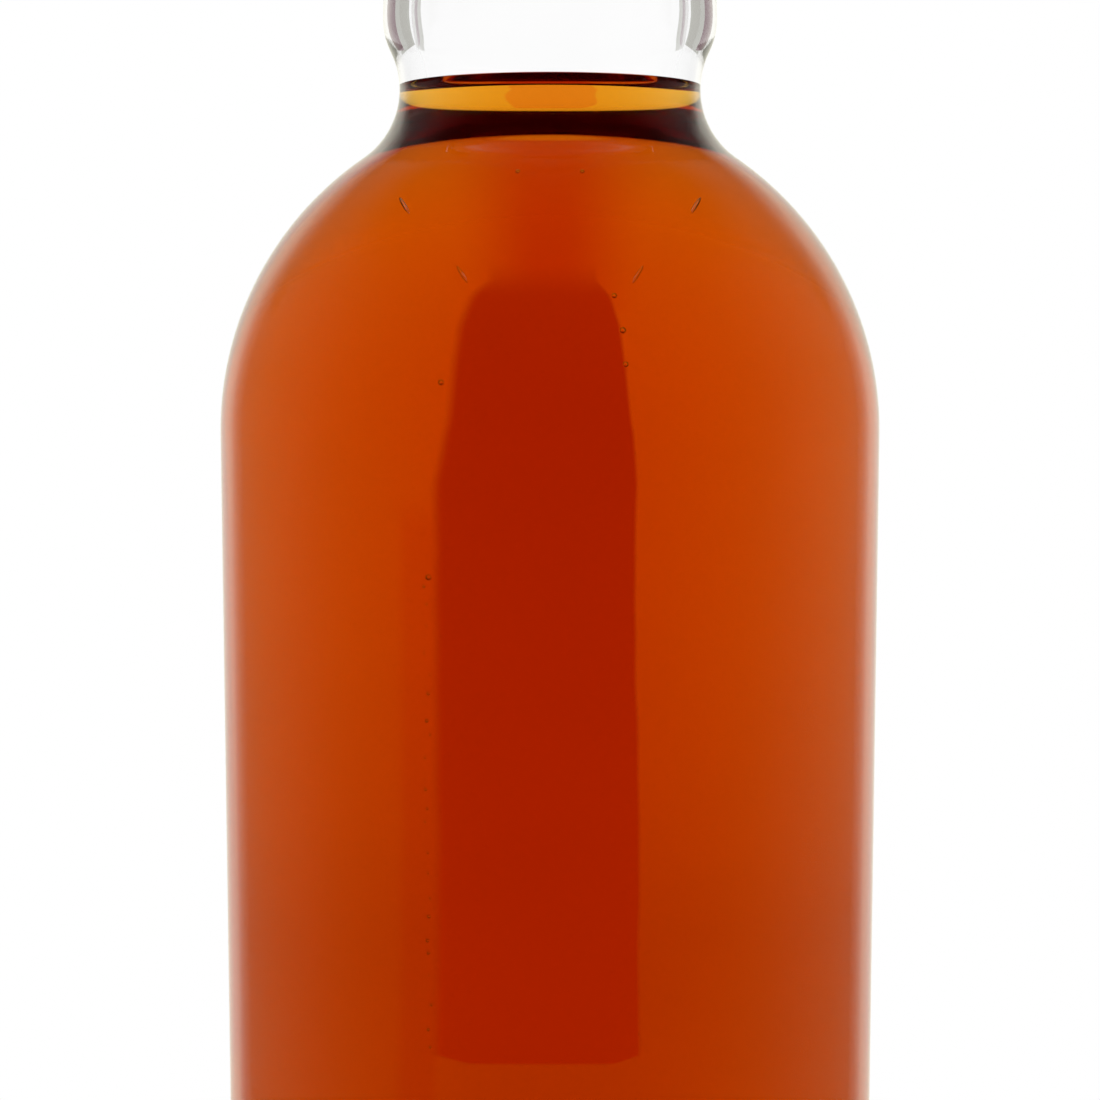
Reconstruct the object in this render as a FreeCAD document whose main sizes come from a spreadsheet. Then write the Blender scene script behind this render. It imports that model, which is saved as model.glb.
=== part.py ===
"""Whisky bottle: a clear glass bottle with a domed shoulder and a bulb in its neck, its whisky, and its stopper.

Millimetres, +Z up. The origin is the centre of the ring that the bottle stands on. The glass and the whisky are
turned about the Z axis, so each is a half outline in the XZ plane: radius across, height up.
"""

import FreeCAD, Part

import math
import os
import re

import Sketcher

V = FreeCAD.Vector

# Driving sizes: name, value in millimetres (or a plain count), and what it is.
SIZES = [
    # Outside of the glass, from the ground up.
    ("foot_radius", 40.0, "radius of the body just above the heel"),
    ("heel_radius", 5.5, "rounding from the ring it stands on to the side"),
    ("ring_width", 3.6, "width of the flat ring it stands on"),
    ("punt_depth", 5.5, "height of the hollow under the base, on the axis"),
    ("punt_round", 2.5, "rounding from the ring into that hollow"),
    ("body_radius", 42.0, "widest radius of the body, and the rounding of the domed shoulder"),
    ("shoulder_height", 138.3, "height of the dome's centre, where the body is widest"),
    ("waist_radius", 19.2, "narrowest radius, between the shoulder and the bulb"),
    ("waist_curve", 10.8, "hollow rounding through the waist"),
    ("bulb_swell", 2.1, "how far the bulb stands out from the waist"),
    ("bulb_curve", 9.0, "rounding under the bulb's widest place"),
    ("neck_swell", 58.0, "long rounding above the bulb's widest place"),
    ("neck_hollow", 58.0, "long hollow rounding up to the throat"),
    ("throat_radius", 13.8, "radius of the straight throat under the bead"),
    ("throat_length", 4.0, "length of that throat"),
    ("bead_stand", 2.2, "how far the bead round the mouth stands out from the throat"),
    ("bead_height", 9.0, "height of the bead"),
    ("bead_root", 0.6, "hollow rounding from the throat to the bead"),
    ("bead_round", 1.2, "rounding of the bead's two edges"),
    # Inside of the glass, from the ground up.
    ("base_wall", 7.4, "glass on the axis, between the hollow below and the whisky"),
    ("heel_floor", 7.0, "height of the lowest place of the inside"),
    ("inner_heel", 9.0, "rounding inside the heel"),
    ("foot_wall", 3.5, "wall just above the heel"),
    ("body_wall", 3.2, "wall of the dome"),
    ("waist_wall", 3.4, "wall at the waist"),
    ("inner_waist", 13.3, "hollow rounding of the inside at the waist"),
    ("inner_swell", 1.9, "how far the inside opens out from the waist to the bulb"),
    ("inner_bulb", 13.0, "rounding of the inside under its widest place in the bulb"),
    ("bore_swell", 38.0, "long rounding of the inside above that place"),
    ("bore_hollow", 34.0, "long hollow rounding up to the mouth's bore"),
    ("throat_wall", 4.3, "wall at the throat"),
    ("mouth_round", 1.2, "rounding of the bore's edge at the lip"),
    # Grip marks pressed into the ring that it stands on.
    ("mark_count", 50, "number of marks"),
    ("mark_length", 2.2, "length of a mark, across the ring"),
    ("mark_width", 1.2, "width of a mark"),
    ("mark_depth", 0.3, "depth of a mark"),
    # Whisky.
    ("fill_drop", 0.6, "depth of the whisky's flat surface below the inside's narrowest place"),
    ("creep_height", 1.7, "how far the surface creeps up the glass"),
    ("creep_curve", 6.1, "rounding of the surface where it creeps up"),
    # Stopper.
    ("shank_length", 18.0, "length of the cork shank in the bore"),
    ("shank_chamfer", 1.0, "chamfer round the shank's lower end"),
    ("head_radius", 16.6, "radius of the head"),
    ("head_height", 12.0, "height of the head"),
    ("head_round", 1.6, "rounding of the head's top edge"),
    ("head_chamfer", 0.6, "chamfer of the head's lower edge"),
]

doc = FreeCAD.newDocument("whisky_bottle")


def fill_sheet(sizes):
    """Puts the driving sizes into the document's sheet, and returns them by name."""
    sheet = doc.addObject("Spreadsheet::Sheet", "Sizes")
    for row, (name, value, meaning) in enumerate(sizes, start=1):
        sheet.set(f"A{row}", name)
        sheet.set(f"B{row}", str(value))
        sheet.setAlias(f"B{row}", name)
        sheet.set(f"C{row}", meaning)
    doc.recompute()
    return {name: float(sheet.get(name)) for name, _, _ in sizes}


def from_sheet(size):
    """The expression of a size, such as 'waist_radius + waist_curve', in terms of the sheet's cells."""
    return re.sub(r"([a-z_]+)", r"Sizes.\1", size)


D = fill_sheet(SIZES)


class Circle:
    """A circle that an outline follows, by its centre (r, z) and its radius."""

    def __init__(self, r, z, radius):
        self.r = r
        self.z = z
        self.radius = radius

    def at(self, turn):
        """The point at that angle in radians, anticlockwise from outward."""
        return (self.r + self.radius * math.cos(turn), self.z + self.radius * math.sin(turn))

    def touch(self, other):
        """Where it touches a circle that lies outside it."""
        share = self.radius / (self.radius + other.radius)
        return (self.r + share * (other.r - self.r), self.z + share * (other.z - self.z))

    def next_above(self, r, radius):
        """The circle of that radius, with its centre at r, that rests on top of it and outside it."""
        rise = math.sqrt((self.radius + radius) ** 2 - (r - self.r) ** 2)
        return Circle(r, self.z + rise, radius)


def dome_to(rim, top):
    """The circle centred on the axis, with its top at that height, that touches the rim's circle from outside."""
    drop = rim.z - top
    radius = (drop**2 + rim.r**2 - rim.radius**2) / (2 * (rim.radius - drop))
    return Circle(0.0, top - radius, radius)


def side_between(low, high):
    """The two ends of the straight side that touches a low and a high circle on their outer side."""
    across = high.r - low.r
    up = high.z - low.z
    lean = math.atan2(up, across) - math.acos((low.radius - high.radius) / math.hypot(across, up))
    return low.at(lean), high.at(lean)


class Outline:
    """A closed outline in a sketch of its own body, drawn piece by piece, with its sizes bound to the sheet."""

    START, END, CENTRE = 1, 2, 3
    ORIGIN = (-1, 1)
    AXIS = -2

    def __init__(self, body, name, first, plane="XZ_Plane"):
        self.sketch = body.newObject("Sketcher::SketchObject", name)
        support = next(feature for feature in body.Origin.OriginFeatures if feature.Role == plane)
        self.sketch.AttachmentSupport = (support, [""])
        self.sketch.MapMode = "FlatFace"
        self.first = first
        self.point = first
        self.pieces = []

    def line(self, end, smooth=False):
        """Goes straight on to a point."""
        return self.join(Part.LineSegment(V(*self.point, 0), V(*end, 0)), end, smooth)

    def arc(self, circle, end, smooth=True):
        """Goes on along the shorter arc of a circle to a point."""
        turns = [math.atan2(z - circle.z, r - circle.r) for r, z in (self.point, end)]
        if (turns[1] - turns[0]) % math.tau > math.pi:
            turns.reverse()
        whole = Part.Circle(V(circle.r, circle.z, 0), V(0, 0, 1), circle.radius)
        return self.join(Part.ArcOfCircle(whole, *turns), end, smooth)

    def join(self, shape, end, smooth):
        """Adds a piece, and fixes it to the piece before it."""
        piece = self.sketch.addGeometry(shape, False)
        if self.pieces:
            self.fix("Tangent" if smooth else "Coincident", self.pieces[-1], piece, self.point)
        self.pieces.append(piece)
        self.point = end
        return piece

    def close(self, smooth=False):
        """Goes straight back to the first point."""
        piece = self.line(self.first, smooth)
        self.fix("Coincident", piece, self.pieces[0], self.first)
        return piece

    def fix(self, kind, piece, other, point):
        """Fixes the ends of two pieces that meet at a point."""
        self.rule(kind, piece, self.end_at(piece, point), other, self.end_at(other, point))

    def end_at(self, piece, point):
        """Which end of a piece lies at a point."""
        return min((self.START, self.END), key=lambda end: self.place(piece, end).sub(V(*point, 0)).Length)

    def place(self, piece, end):
        return self.sketch.getPoint(piece, end)

    def rule(self, kind, *where):
        """Adds a constraint without a size."""
        return self.sketch.addConstraint(Sketcher.Constraint(kind, *where))

    def size(self, kind, where, now, size):
        """Adds a constraint with a size, bound to the sheet."""
        number = self.sketch.addConstraint(Sketcher.Constraint(kind, *where, now))
        self.sketch.setExpression(f"Constraints[{number}]", from_sheet(size))

    def radius(self, piece, size):
        self.size("Radius", (piece,), self.sketch.Geometry[piece].Radius, size)

    def across(self, piece, end, size):
        """Sets a point's distance from the axis."""
        self.size("DistanceX", (*self.ORIGIN, piece, end), self.place(piece, end).x, size)

    def up(self, piece, end, size, start=ORIGIN):
        """Sets a point's height above the ground, or above another point."""
        now = self.place(piece, end).y - self.place(*start).y
        self.size("DistanceY", (*start, piece, end), now, size)

    def on_axis(self, piece, end):
        self.rule("PointOnObject", piece, end, self.AXIS)

    def level_ends(self, piece, end, other, other_end):
        """Holds two points at one height."""
        self.rule("Horizontal", piece, end, other, other_end)


# Circles that the outside follows.
ring_edge = D["foot_radius"] - D["heel_radius"]
ring_inner = ring_edge - D["ring_width"]
bulb_radius = D["waist_radius"] + D["bulb_swell"]

punt_edge = Circle(ring_inner, D["punt_round"], D["punt_round"])
punt = dome_to(punt_edge, D["punt_depth"])
heel = Circle(ring_edge, D["heel_radius"], D["heel_radius"])
shoulder = Circle(0.0, D["shoulder_height"], D["body_radius"])
waist = shoulder.next_above(D["waist_radius"] + D["waist_curve"], D["waist_curve"])
bulb = waist.next_above(bulb_radius - D["bulb_curve"], D["bulb_curve"])
swell = Circle(bulb_radius - D["neck_swell"], bulb.z, D["neck_swell"])
hollow = swell.next_above(D["throat_radius"] + D["neck_hollow"], D["neck_hollow"])
side_low, side_high = side_between(heel, shoulder)

# Circles that the inside follows.
waist_bore = D["waist_radius"] - D["waist_wall"]
bulb_bore = waist_bore + D["inner_swell"]
mouth_bore = D["throat_radius"] - D["throat_wall"]

in_heel_r = D["foot_radius"] - D["foot_wall"] - D["inner_heel"]
in_heel = Circle(in_heel_r, D["heel_floor"] + D["inner_heel"], D["inner_heel"])
in_dome = dome_to(in_heel, D["punt_depth"] + D["base_wall"])
in_shoulder = Circle(0.0, shoulder.z, D["body_radius"] - D["body_wall"])
in_waist = in_shoulder.next_above(waist_bore + D["inner_waist"], D["inner_waist"])
in_bulb = in_waist.next_above(bulb_bore - D["inner_bulb"], D["inner_bulb"])
in_swell = Circle(bulb_bore - D["bore_swell"], in_bulb.z, D["bore_swell"])
in_hollow = in_swell.next_above(mouth_bore + D["bore_hollow"], D["bore_hollow"])
in_low, in_high = side_between(in_heel, in_shoulder)


def draw_outside(body):
    """The outside of the glass, filled in to the axis. Its height is the lip's."""
    throat_top = hollow.z + D["throat_length"]
    bead_low = throat_top + D["bead_root"]
    lip = bead_low + D["bead_height"]
    throat_r = D["throat_radius"]
    bead_r = throat_r + D["bead_stand"]
    curl = D["bead_round"]
    root = Circle(throat_r + D["bead_root"], throat_top, D["bead_root"])
    bead_foot = Circle(bead_r - curl, bead_low + curl, curl)
    bead_top = Circle(bead_r - curl, lip - curl, curl)

    out = Outline(body, "OutsideOutline", (0.0, D["punt_depth"]))
    under = out.arc(punt, punt.touch(punt_edge))
    edge = out.arc(punt_edge, (ring_inner, 0.0))
    ring = out.line((ring_edge, 0.0), smooth=True)
    heel_arc = out.arc(heel, side_low)
    out.line(side_high, smooth=True)
    dome = out.arc(shoulder, shoulder.touch(waist))
    waist_arc = out.arc(waist, waist.touch(bulb))
    bulb_arc = out.arc(bulb, (bulb_radius, bulb.z))
    swell_arc = out.arc(swell, swell.touch(hollow))
    hollow_arc = out.arc(hollow, (throat_r, hollow.z))
    throat = out.line((throat_r, throat_top), smooth=True)
    root_arc = out.arc(root, (root.r, bead_low))
    bead_under = out.line((bead_foot.r, bead_low), smooth=True)
    foot_arc = out.arc(bead_foot, (bead_r, bead_foot.z))
    bead_side = out.line((bead_r, bead_top.z), smooth=True)
    top_arc = out.arc(bead_top, (bead_top.r, lip))
    lip_line = out.line((0.0, lip), smooth=True)
    axis = out.close()

    out.on_axis(under, out.CENTRE)
    out.on_axis(axis, out.START)
    out.on_axis(axis, out.END)
    out.on_axis(dome, out.CENTRE)
    out.up(axis, out.END, "punt_depth")
    for flat in (ring, bead_under, lip_line):
        out.rule("Horizontal", flat)
    for upright in (throat, bead_side):
        out.rule("Vertical", upright)
    out.rule("PointOnObject", ring, out.START, -1)
    out.across(ring, out.START, "foot_radius - heel_radius - ring_width")
    out.across(ring, out.END, "foot_radius - heel_radius")
    out.up(dome, out.CENTRE, "shoulder_height")
    out.across(waist_arc, out.CENTRE, "waist_radius + waist_curve")
    bulb_top = (bulb_arc, out.end_at(bulb_arc, (bulb_radius, bulb.z)))
    out.across(*bulb_top, "waist_radius + bulb_swell")
    out.level_ends(*bulb_top, bulb_arc, out.CENTRE)
    out.across(throat, out.START, "throat_radius")
    out.up(throat, out.END, "throat_length", start=(throat, out.START))
    out.across(bead_side, out.START, "throat_radius + bead_stand")
    out.up(lip_line, out.START, "bead_height", start=(bead_under, out.START))
    for piece, size in (
        (edge, "punt_round"),
        (heel_arc, "heel_radius"),
        (dome, "body_radius"),
        (waist_arc, "waist_curve"),
        (bulb_arc, "bulb_curve"),
        (swell_arc, "neck_swell"),
        (hollow_arc, "neck_hollow"),
        (root_arc, "bead_root"),
        (foot_arc, "bead_round"),
        (top_arc, "bead_round"),
    ):
        out.radius(piece, size)
    number = out.rule("DistanceY", *out.ORIGIN, lip_line, out.START, lip)
    out.sketch.setDriving(number, False)
    out.sketch.renameConstraint(number, "lip_height")
    return out, lip


def draw_inside(body, name, waist_end):
    """Starts the outline of what the glass holds: from the axis over the base, up the side and into the waist."""
    inside = Outline(body, name, (0.0, D["punt_depth"] + D["base_wall"]))
    base = inside.arc(in_dome, in_dome.touch(in_heel))
    heel_arc = inside.arc(in_heel, in_low)
    inside.line(in_high, smooth=True)
    dome = inside.arc(in_shoulder, in_shoulder.touch(in_waist))
    waist_arc = inside.arc(in_waist, waist_end)

    inside.on_axis(base, inside.CENTRE)
    inside.on_axis(dome, inside.CENTRE)
    inside.up(base, inside.end_at(base, inside.first), "punt_depth + base_wall")
    inside.across(heel_arc, inside.CENTRE, "foot_radius - foot_wall - inner_heel")
    inside.up(heel_arc, inside.CENTRE, "heel_floor + inner_heel")
    inside.up(dome, inside.CENTRE, "shoulder_height")
    inside.across(waist_arc, inside.CENTRE, "waist_radius - waist_wall + inner_waist")
    inside.radius(heel_arc, "inner_heel")
    inside.radius(dome, "body_radius - body_wall")
    inside.radius(waist_arc, "inner_waist")
    return inside, waist_arc


def draw_cavity(body, lip):
    """All the room inside the glass, up to the lip."""
    rounding = D["mouth_round"]
    mouth = Circle(mouth_bore + rounding, lip - rounding, rounding)
    inside, _ = draw_inside(body, "CavityOutline", in_waist.touch(in_bulb))
    bulb_arc = inside.arc(in_bulb, (bulb_bore, in_bulb.z))
    swell_arc = inside.arc(in_swell, in_swell.touch(in_hollow))
    hollow_arc = inside.arc(in_hollow, (mouth_bore, in_hollow.z))
    bore = inside.line((mouth_bore, mouth.z), smooth=True)
    mouth_arc = inside.arc(mouth, (mouth.r, lip))
    top = inside.line((0.0, lip))
    axis = inside.close()

    inside.on_axis(axis, inside.START)
    inside.on_axis(axis, inside.END)
    bulb_top = (bulb_arc, inside.end_at(bulb_arc, (bulb_bore, in_bulb.z)))
    inside.across(*bulb_top, "waist_radius - waist_wall + inner_swell")
    inside.level_ends(*bulb_top, bulb_arc, inside.CENTRE)
    inside.rule("Vertical", bore)
    inside.across(bore, inside.START, "throat_radius - throat_wall")
    inside.rule("Horizontal", top)
    inside.rule("Vertical", mouth_arc, inside.CENTRE, mouth_arc, inside.end_at(mouth_arc, (mouth.r, lip)))
    inside.radius(bulb_arc, "inner_bulb")
    inside.radius(swell_arc, "bore_swell")
    inside.radius(hollow_arc, "bore_hollow")
    inside.radius(mouth_arc, "mouth_round")
    number = inside.rule("DistanceY", *inside.ORIGIN, top, inside.START, lip)
    inside.sketch.setExpression(f"Constraints[{number}]", "OutsideOutline.Constraints.lip_height")
    return inside


def new_body(name, label):
    body = doc.addObject("PartDesign::Body", name)
    body.Label = label
    return body


def turned(body, kind, name, outline):
    """A full turn of an outline about its upright axis."""
    feature = body.newObject(kind, name)
    feature.Profile = outline.sketch
    feature.ReferenceAxis = (outline.sketch, ["V_Axis"])
    feature.Angle = 360
    outline.sketch.Visibility = False
    doc.recompute()
    return feature


def circle_pad(body, name, radius, height, downward=False):
    """A round pad on the body's own ground plane."""
    sketch = body.newObject("Sketcher::SketchObject", f"{name}Circle")
    support = next(feature for feature in body.Origin.OriginFeatures if feature.Role == "XY_Plane")
    sketch.AttachmentSupport = (support, [""])
    sketch.MapMode = "FlatFace"
    circle = sketch.addGeometry(Part.Circle(V(0, 0, 0), V(0, 0, 1), 10.0), False)
    sketch.addConstraint(Sketcher.Constraint("Coincident", circle, 3, -1, 1))
    number = sketch.addConstraint(Sketcher.Constraint("Radius", circle, 10.0))
    sketch.setExpression(f"Constraints[{number}]", from_sheet(radius))
    pad = body.newObject("PartDesign::Pad", name)
    pad.Profile = sketch
    pad.setExpression("Length", from_sheet(height))
    pad.Reversed = downward
    doc.recompute()
    return pad


def edge_at(feature, height):
    """The name of the round edge at that height."""
    for number, edge in enumerate(feature.Shape.Edges, start=1):
        box = edge.BoundBox
        if abs(box.ZMin - height) < 1e-6 and abs(box.ZMax - height) < 1e-6:
            return f"Edge{number}"
    raise ValueError(f"no edge at {height}")


def dressed(body, kind, name, base, height, size):
    """A chamfer or a fillet of the round edge at that height."""
    feature = body.newObject(kind, name)
    feature.Base = (base, [edge_at(base, height)])
    feature.setExpression("Radius" if kind.endswith("Fillet") else "Size", from_sheet(size))
    doc.recompute()
    return feature


def build_glass():
    """The bottle itself: turned outside, hollowed inside, with grip marks round the ring that it stands on."""
    glass = new_body("Glass", "bottle_glass")
    outside, lip = draw_outside(glass)
    whole = turned(glass, "PartDesign::Revolution", "Outside", outside)
    cavity = turned(glass, "PartDesign::Groove", "Cavity", draw_cavity(glass, lip))
    if not cavity.Shape.Volume < whole.Shape.Volume:
        raise ValueError("the cavity cuts nothing")

    inner = ring_inner + (D["ring_width"] - D["mark_length"]) / 2
    outer = inner + D["mark_length"]
    half = D["mark_width"] / 2
    mark = Outline(glass, "MarkOutline", (inner, -half), plane="XY_Plane")
    near = mark.line((outer, -half))
    end = mark.line((outer, half))
    far = mark.line((inner, half))
    mark.close()
    for flat in (near, far):
        mark.rule("Horizontal", flat)
    mark.rule("Vertical", end)
    mark.rule("Symmetric", near, mark.START, far, mark.END, -1)
    mark.across(near, mark.START, "foot_radius - heel_radius - ring_width / 2 - mark_length / 2")
    mark.across(near, mark.END, "foot_radius - heel_radius - ring_width / 2 + mark_length / 2")
    mark.up(far, mark.END, "mark_width", start=(near, mark.START))

    pocket = glass.newObject("PartDesign::Pocket", "Mark")
    pocket.Profile = mark.sketch
    pocket.setExpression("Length", from_sheet("mark_depth"))
    pocket.Reversed = True
    mark.sketch.Visibility = False
    doc.recompute()
    marks = glass.newObject("PartDesign::PolarPattern", "Marks")
    marks.Originals = [pocket]
    marks.Axis = (mark.sketch, ["N_Axis"])
    marks.Angle = 360
    marks.setExpression("Occurrences", from_sheet("mark_count"))
    glass.Tip = marks
    doc.recompute()
    one = cavity.Shape.Volume - pocket.Shape.Volume
    every = cavity.Shape.Volume - glass.Shape.Volume
    if not 0 < one < every:
        raise ValueError("the grip marks cut nothing")
    return glass, lip


def build_whisky():
    """The whisky: it fills the inside up to its flat surface, and creeps a little way up the glass."""
    whisky = new_body("Whisky", "whisky")
    level = in_waist.z - D["fill_drop"]
    rim_z = level + D["creep_height"]
    rim_r = in_waist.r - math.sqrt(in_waist.radius**2 - (rim_z - in_waist.z) ** 2)
    reach = math.sqrt(D["creep_height"] * (2 * D["creep_curve"] - D["creep_height"]))
    creep = Circle(rim_r - reach, level + D["creep_curve"], D["creep_curve"])

    body, waist_arc = draw_inside(whisky, "WhiskyOutline", (rim_r, rim_z))
    creep_arc = body.arc(creep, (creep.r, level), smooth=False)
    surface = body.line((0.0, level), smooth=True)
    axis = body.close()
    body.on_axis(axis, body.START)
    body.on_axis(axis, body.END)
    body.rule("Horizontal", surface)
    body.radius(creep_arc, "creep_curve")
    body.up(waist_arc, body.CENTRE, "fill_drop", start=(surface, body.END))
    rim = (creep_arc, body.end_at(creep_arc, (rim_r, rim_z)))
    body.up(*rim, "creep_height", start=(surface, body.START))
    turned(whisky, "PartDesign::Revolution", "Liquid", body)
    return whisky


def build_stopper():
    """The stopper's two pieces: a cork shank that fills the bore, and a turned head that rests on the lip."""
    shank = new_body("Shank", "cork_shank")
    plug = circle_pad(shank, "Plug", "throat_radius - throat_wall", "shank_length", downward=True)
    dressed(shank, "PartDesign::Chamfer", "PlugEnd", plug, -D["shank_length"], "shank_chamfer")

    head = new_body("Head", "stopper_head")
    knob = circle_pad(head, "Knob", "head_radius", "head_height")
    top = dressed(head, "PartDesign::Fillet", "KnobTop", knob, D["head_height"], "head_round")
    dressed(head, "PartDesign::Chamfer", "KnobFoot", top, 0.0, "head_chamfer")

    for body in (shank, head):
        body.setExpression("Placement.Base.z", "OutsideOutline.Constraints.lip_height")
    return shank, head


def check_document():
    """Every object has computed, and every outline is held by its sizes alone."""
    for item in doc.Objects:
        if {"Invalid", "Error"} & set(item.State):
            raise ValueError(f"{item.Name} failed: {item.State}")
        if item.TypeId == "Sketcher::SketchObject" and not (item.solve() == 0 and item.FullyConstrained):
            raise ValueError(f"{item.Name} is not held by its sizes")


def write_parts(bodies):
    for body in bodies:
        if body.Shape.isNull() or not body.Shape.isValid():
            raise ValueError(f"{body.Label} is not a valid solid")
        print(f"{body.Label}: {body.Shape.Volume / 1000:.2f} ml")
    os.makedirs("parts", exist_ok=True)
    for body in bodies:
        body.Shape.exportStep(f"parts/{body.Label}.step")


bottle_glass, lip_height = build_glass()
pieces = [bottle_glass, build_whisky(), *build_stopper()]
doc.recompute()
check_document()
write_parts(pieces)
print(f"lip at {lip_height:.2f} mm, whisky up to {in_waist.z - D['fill_drop']:.2f} mm")
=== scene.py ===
import math
import random

import bmesh
import bpy
from mathutils import Matrix, Vector, noise


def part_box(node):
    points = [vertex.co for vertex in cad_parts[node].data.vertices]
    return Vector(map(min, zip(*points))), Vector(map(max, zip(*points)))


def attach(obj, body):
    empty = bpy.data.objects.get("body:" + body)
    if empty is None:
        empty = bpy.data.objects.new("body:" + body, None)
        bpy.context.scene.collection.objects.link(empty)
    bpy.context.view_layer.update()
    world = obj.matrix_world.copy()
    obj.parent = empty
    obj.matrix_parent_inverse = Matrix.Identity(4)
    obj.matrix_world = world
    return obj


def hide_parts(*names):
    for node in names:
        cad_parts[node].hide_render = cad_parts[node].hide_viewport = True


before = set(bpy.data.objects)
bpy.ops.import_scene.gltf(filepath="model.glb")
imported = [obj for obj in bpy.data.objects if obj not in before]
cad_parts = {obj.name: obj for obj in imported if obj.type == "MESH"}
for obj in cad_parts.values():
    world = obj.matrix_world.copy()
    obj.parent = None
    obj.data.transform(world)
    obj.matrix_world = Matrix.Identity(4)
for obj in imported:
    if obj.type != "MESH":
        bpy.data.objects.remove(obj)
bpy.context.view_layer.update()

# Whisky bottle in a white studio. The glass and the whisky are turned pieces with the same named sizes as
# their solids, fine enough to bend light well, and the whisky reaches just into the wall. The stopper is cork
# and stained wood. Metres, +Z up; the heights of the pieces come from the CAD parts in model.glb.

MM = 0.001

# ---------------------------------------------------------------- sizes

glass_low, glass_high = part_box("bottle_glass")
whisky_low, whisky_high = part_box("whisky")
cork_low, cork_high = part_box("cork_shank")
head_low, head_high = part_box("stopper_head")

LIP = glass_high.z
RIM_OF_WHISKY = whisky_high.z
BODY_RADIUS = min(glass_high.x - glass_low.x, glass_high.y - glass_low.y) / 2

# Outside of the glass.
FOOT_RADIUS = 40.0 * MM
HEEL_RADIUS = 5.5 * MM
RING_WIDTH = 3.6 * MM
PUNT_DEPTH = 5.5 * MM
PUNT_ROUND = 2.5 * MM
SHOULDER_HEIGHT = 138.3 * MM
WAIST_RADIUS = 19.2 * MM
WAIST_CURVE = 10.8 * MM
BULB_SWELL = 2.1 * MM
BULB_CURVE = 9.0 * MM
NECK_SWELL = 58.0 * MM
NECK_HOLLOW = 58.0 * MM
THROAT_RADIUS = 13.8 * MM
BEAD_STAND = 2.2 * MM
BEAD_HEIGHT = 9.0 * MM
BEAD_ROOT = 0.6 * MM
BEAD_ROUND = 1.2 * MM

# Inside of the glass.
BASE_WALL = 7.4 * MM
HEEL_FLOOR = 7.0 * MM
INNER_HEEL = 9.0 * MM
FOOT_WALL = 3.5 * MM
BODY_WALL = 3.2 * MM
WAIST_WALL = 3.4 * MM
INNER_WAIST = 13.3 * MM
INNER_SWELL = 1.9 * MM
INNER_BULB = 13.0 * MM
BORE_SWELL = 38.0 * MM
BORE_HOLLOW = 34.0 * MM
THROAT_WALL = 4.3 * MM
MOUTH_ROUND = 1.2 * MM

# Grip marks pressed into the ring that the bottle stands on.
MARK_COUNT = 50
MARK_LENGTH = 2.2 * MM
MARK_DEPTH = 0.3 * MM

# Bubbles in the whisky, as degrees from the front, height over the shoulder's centre, and radius. A column
# of small ones stands under the last.
BUBBLES = [
    (-9, 29.9 * MM, 0.28 * MM),
    (9, 29.9 * MM, 0.28 * MM),
    (12.3, 15.0 * MM, 0.32 * MM),
    (13.4, 10.9 * MM, 0.38 * MM),
    (13.6, 6.9 * MM, 0.34 * MM),
    (-19.6, 4.8 * MM, 0.34 * MM),
    (-22.0, -18.6 * MM, 0.36 * MM),
]
BUBBLE_COLUMN_TURN = -22.3
BUBBLE_COLUMN_TOP = -20 * MM
BUBBLE_COLUMN_LENGTH = 58 * MM
BUBBLE_COLUMN_COUNT = 22
BUBBLE_COLUMN_SWAY = 0.7
BUBBLE_COLUMN_UNEVEN = 0.35
BUBBLE_COLUMN_RADII = (0.10 * MM, 0.24 * MM)
BUBBLE_COLUMN_SEED = 7
BUBBLE_GAP = 0.1 * MM

# Drawn-out seeds of air in the shoulder's glass, alike on both sides, as degrees from the front, height over
# the shoulder's centre, degrees of lean, half length and half width.
SEEDS = [
    (35.2, 26.5 * MM, 45.0, 1.9 * MM, 0.24 * MM),
    (16.8, 17.8 * MM, 35.0, 1.4 * MM, 0.20 * MM),
]
SEED_HALF_DEEP = 0.12 * MM

# Whisky.
CREEP_HEIGHT = 1.7 * MM
CREEP_CURVE = 6.1 * MM
REACH_INTO_WALL = 0.1 * MM
SURFACE_EDGE = 0.1 * MM

# Stopper.
SHANK_CHAMFER = 1.0 * MM
HEAD_CHAMFER = 0.6 * MM
HEAD_ROUND = 1.6 * MM

# Stopper's surface: the cork's pores and their pits, and the lathe's rings and the grain on the head.
CORK_PRESS = 0.04 * MM
CORK_PORE = 1.6 * MM
PORE_STRETCH = 0.55
PIT_DEPTH = 0.45 * MM
PIT_SHARE = 0.26
PIT_SHARE_CHANGE = 0.3
PIT_PATCH = 4 * CORK_PORE
NO_PITS_BELOW = -0.35
LATHE_PITCH = 0.7 * MM
LATHE_DEPTH = 0.035 * MM
LATHE_SHARE = 0.35
GRAIN_SHARE = 0.4
GRAIN_WIDTH = 0.5 * MM
GRAIN_LENGTH = 9.0 * MM

# How fine the meshes are.
TURN_STEPS = 5 * MARK_COUNT
ARC_STEP = 1.0 * MM
FINEST_TURN = math.radians(9)
FINEST_RIM_TURN = math.radians(3)
ON_AXIS = 1e-9

# ---------------------------------------------------------------- outlines


class Circle:
    """A circle that an outline follows, by its centre (r, z) and its radius."""

    def __init__(self, r, z, radius):
        self.r = r
        self.z = z
        self.radius = radius

    def at(self, turn):
        return (self.r + self.radius * math.cos(turn), self.z + self.radius * math.sin(turn))

    def turn_to(self, point):
        return math.atan2(point[1] - self.z, point[0] - self.r)

    def touch(self, other):
        """Where it touches a circle that lies outside it."""
        share = self.radius / (self.radius + other.radius)
        return (self.r + share * (other.r - self.r), self.z + share * (other.z - self.z))

    def next_above(self, r, radius):
        """The circle of that radius, with its centre at r, that rests on top of it and outside it."""
        return Circle(r, self.z + math.sqrt((self.radius + radius) ** 2 - (r - self.r) ** 2), radius)


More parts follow.
